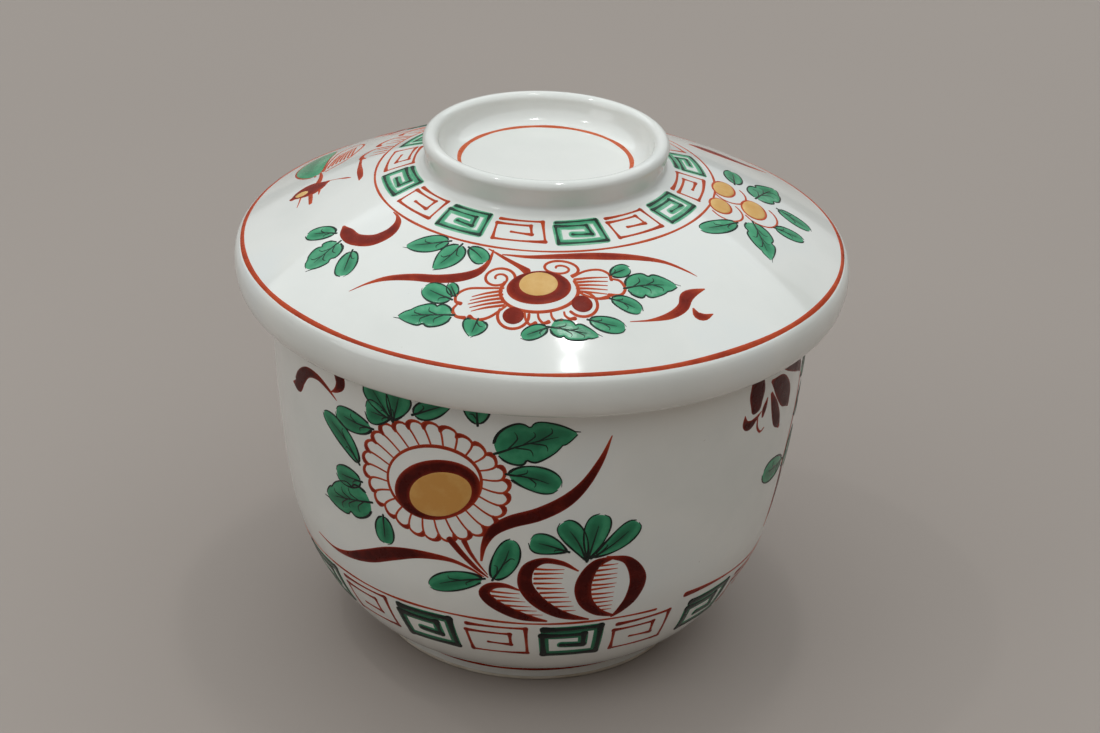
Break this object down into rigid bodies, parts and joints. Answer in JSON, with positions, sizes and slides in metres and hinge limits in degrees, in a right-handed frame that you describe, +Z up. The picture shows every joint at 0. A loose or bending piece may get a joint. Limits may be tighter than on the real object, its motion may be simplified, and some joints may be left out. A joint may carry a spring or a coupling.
{
  "type": "lidded rice bowl",
  "caption": "Round porcelain rice bowl on a foot ring, with a domed overlapping lid that lifts off by its ring grip.",
  "frame": {"origin": "centre of the circle that the foot ring stands on", "axes": "+Z up along the axis of the bowl and the lid; -Y towards the painted front"},
  "size_m": [0.1176, 0.1176, 0.1021],
  "materials": {
    "bowl_glaze": "glossy clear glaze on white porcelain",
    "lid_glaze": "glossy clear glaze on white porcelain",
    "bare_clay": "matt unglazed fired porcelain",
    "red_enamel": "glossy hand-painted overglaze enamel",
    "green_enamel": "glossy hand-painted overglaze enamel",
    "black_enamel": "glossy hand-painted overglaze enamel",
    "gold_enamel": "soft-gloss ochre gilding"
  },
  "bodies": {
    "bowl": {"bowl": "bowl_glaze"},
    "lid": {"lid": "lid_glaze"}
  },
  "joints": [
    {"name": "lid_lift", "type": "slide", "parent": "bowl", "child": "lid", "axis": [0, 0, 1], "range_m": [0, 0.08]}
  ]
}
